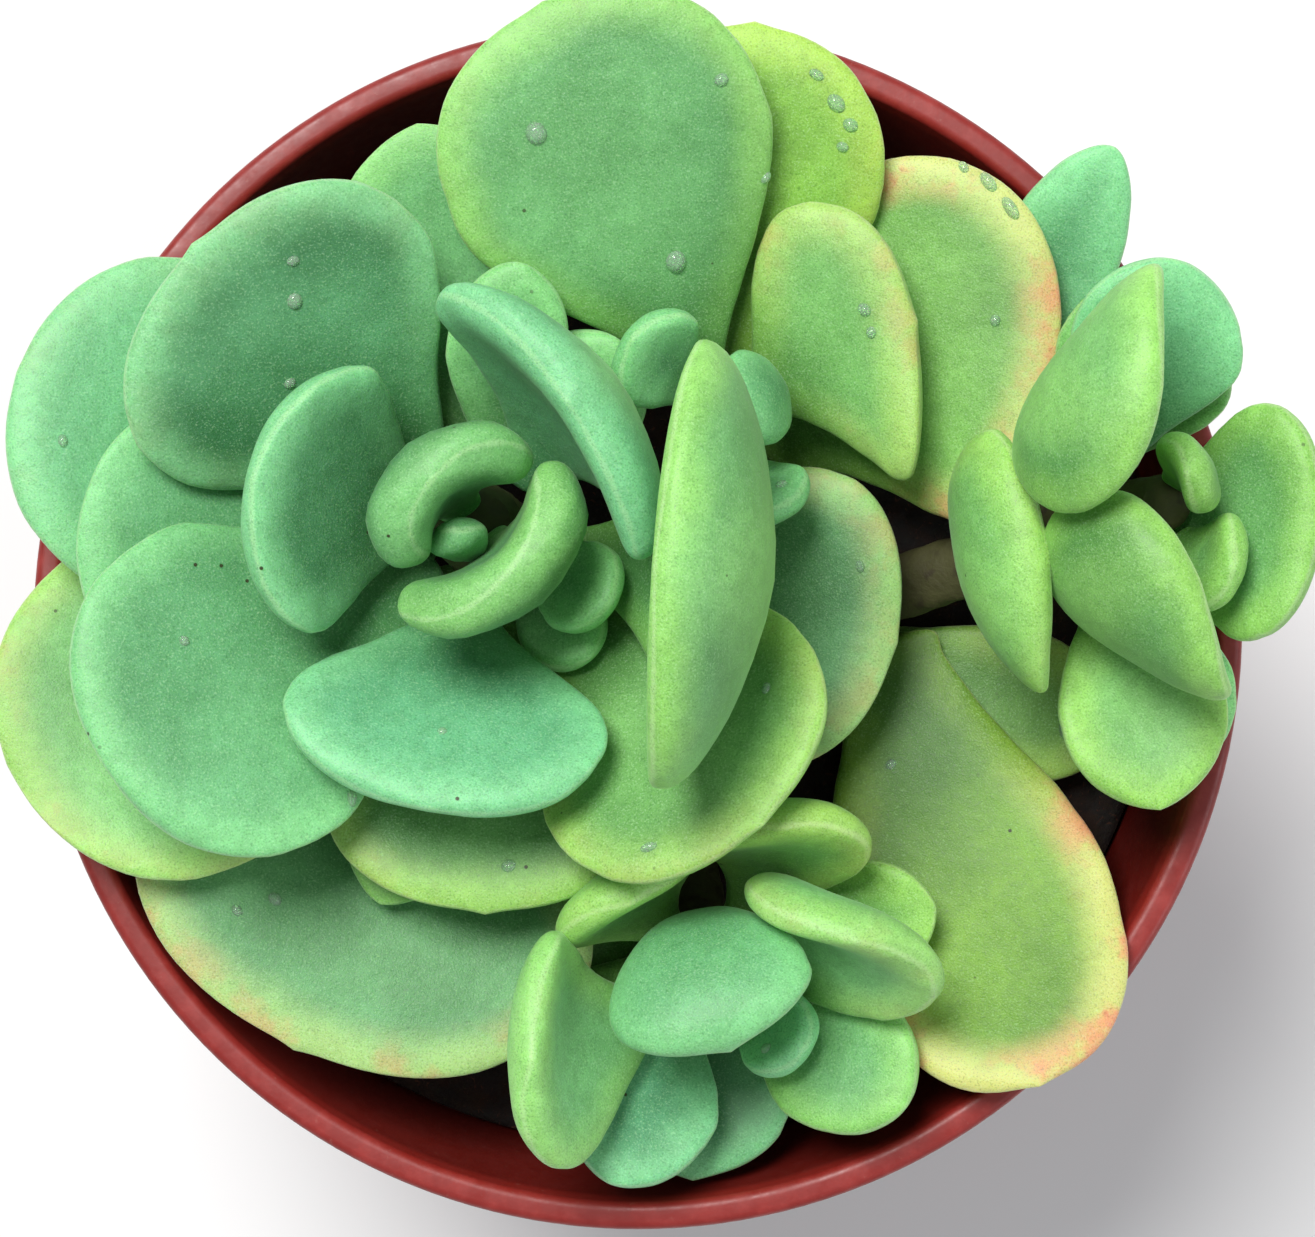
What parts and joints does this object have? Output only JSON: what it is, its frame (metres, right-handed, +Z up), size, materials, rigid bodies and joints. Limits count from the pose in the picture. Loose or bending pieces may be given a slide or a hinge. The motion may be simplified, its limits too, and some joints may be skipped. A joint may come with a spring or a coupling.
{
  "type": "potted succulent",
  "caption": "Velvety rosette succulent with thick rounded spoon leaves and offset rosettes on bare stems, in a round tapered nursery pot with a thick lip.",
  "frame": {"origin": "centre of the pot's flat underside, on the surface the pot stands on", "axes": "+Z up along the pot's axis, -Y to the front, which is the bottom of the plant's plan view, +X to its right"},
  "size_m": [0.1083, 0.1021, 0.1253],
  "materials": {
    "pot_plastic": "satin brick red moulded plastic",
    "potting_mix": "damp crumbly potting mix",
    "stem_bark": "dull pale brown stem with old leaf scars",
    "leaf_skin": "fleshy green leaf with short pale hairs",
    "water": "clear water drop"
  },
  "bodies": {
    "root": {"pot": "pot_plastic", "soil": "potting_mix", "stem_main": "stem_bark", "stem_crown": "stem_bark", "stem_right": "stem_bark", "stem_front": "stem_bark", "main_leaf_01": "leaf_skin", "main_leaf_02": "leaf_skin", "main_leaf_03": "leaf_skin", "main_leaf_04": "leaf_skin", "main_leaf_05": "leaf_skin", "main_leaf_06": "leaf_skin", "main_leaf_07": "leaf_skin", "main_leaf_08": "leaf_skin", "main_leaf_09": "leaf_skin", "main_leaf_10": "leaf_skin", "main_leaf_11": "leaf_skin", "main_leaf_12": "leaf_skin", "main_leaf_13": "leaf_skin", "main_leaf_14": "leaf_skin", "main_leaf_15": "leaf_skin", "main_leaf_16": "leaf_skin", "main_leaf_17": "leaf_skin", "main_leaf_18": "leaf_skin", "main_leaf_19": "leaf_skin", "main_leaf_20": "leaf_skin", "main_leaf_21": "leaf_skin", "main_leaf_22": "leaf_skin", "crown_leaf_01": "leaf_skin", "crown_leaf_02": "leaf_skin", "crown_leaf_03": "leaf_skin", "crown_leaf_04": "leaf_skin", "crown_leaf_05": "leaf_skin", "crown_leaf_06": "leaf_skin", "crown_leaf_07": "leaf_skin", "right_leaf_01": "leaf_skin", "right_leaf_02": "leaf_skin", "right_leaf_03": "leaf_skin", "right_leaf_04": "leaf_skin", "right_leaf_05": "leaf_skin", "right_leaf_06": "leaf_skin", "right_leaf_07": "leaf_skin", "right_leaf_08": "leaf_skin", "right_leaf_09": "leaf_skin", "right_leaf_10": "leaf_skin", "right_leaf_11": "leaf_skin", "right_leaf_12": "leaf_skin", "right_leaf_13": "leaf_skin", "front_leaf_01": "leaf_skin", "front_leaf_02": "leaf_skin", "front_leaf_03": "leaf_skin", "front_leaf_04": "leaf_skin", "front_leaf_05": "leaf_skin", "front_leaf_06": "leaf_skin", "front_leaf_07": "leaf_skin", "front_leaf_08": "leaf_skin", "front_leaf_09": "leaf_skin", "front_leaf_10": "leaf_skin", "front_leaf_11": "leaf_skin", "front_leaf_12": "leaf_skin"}
  },
  "joints": []
}
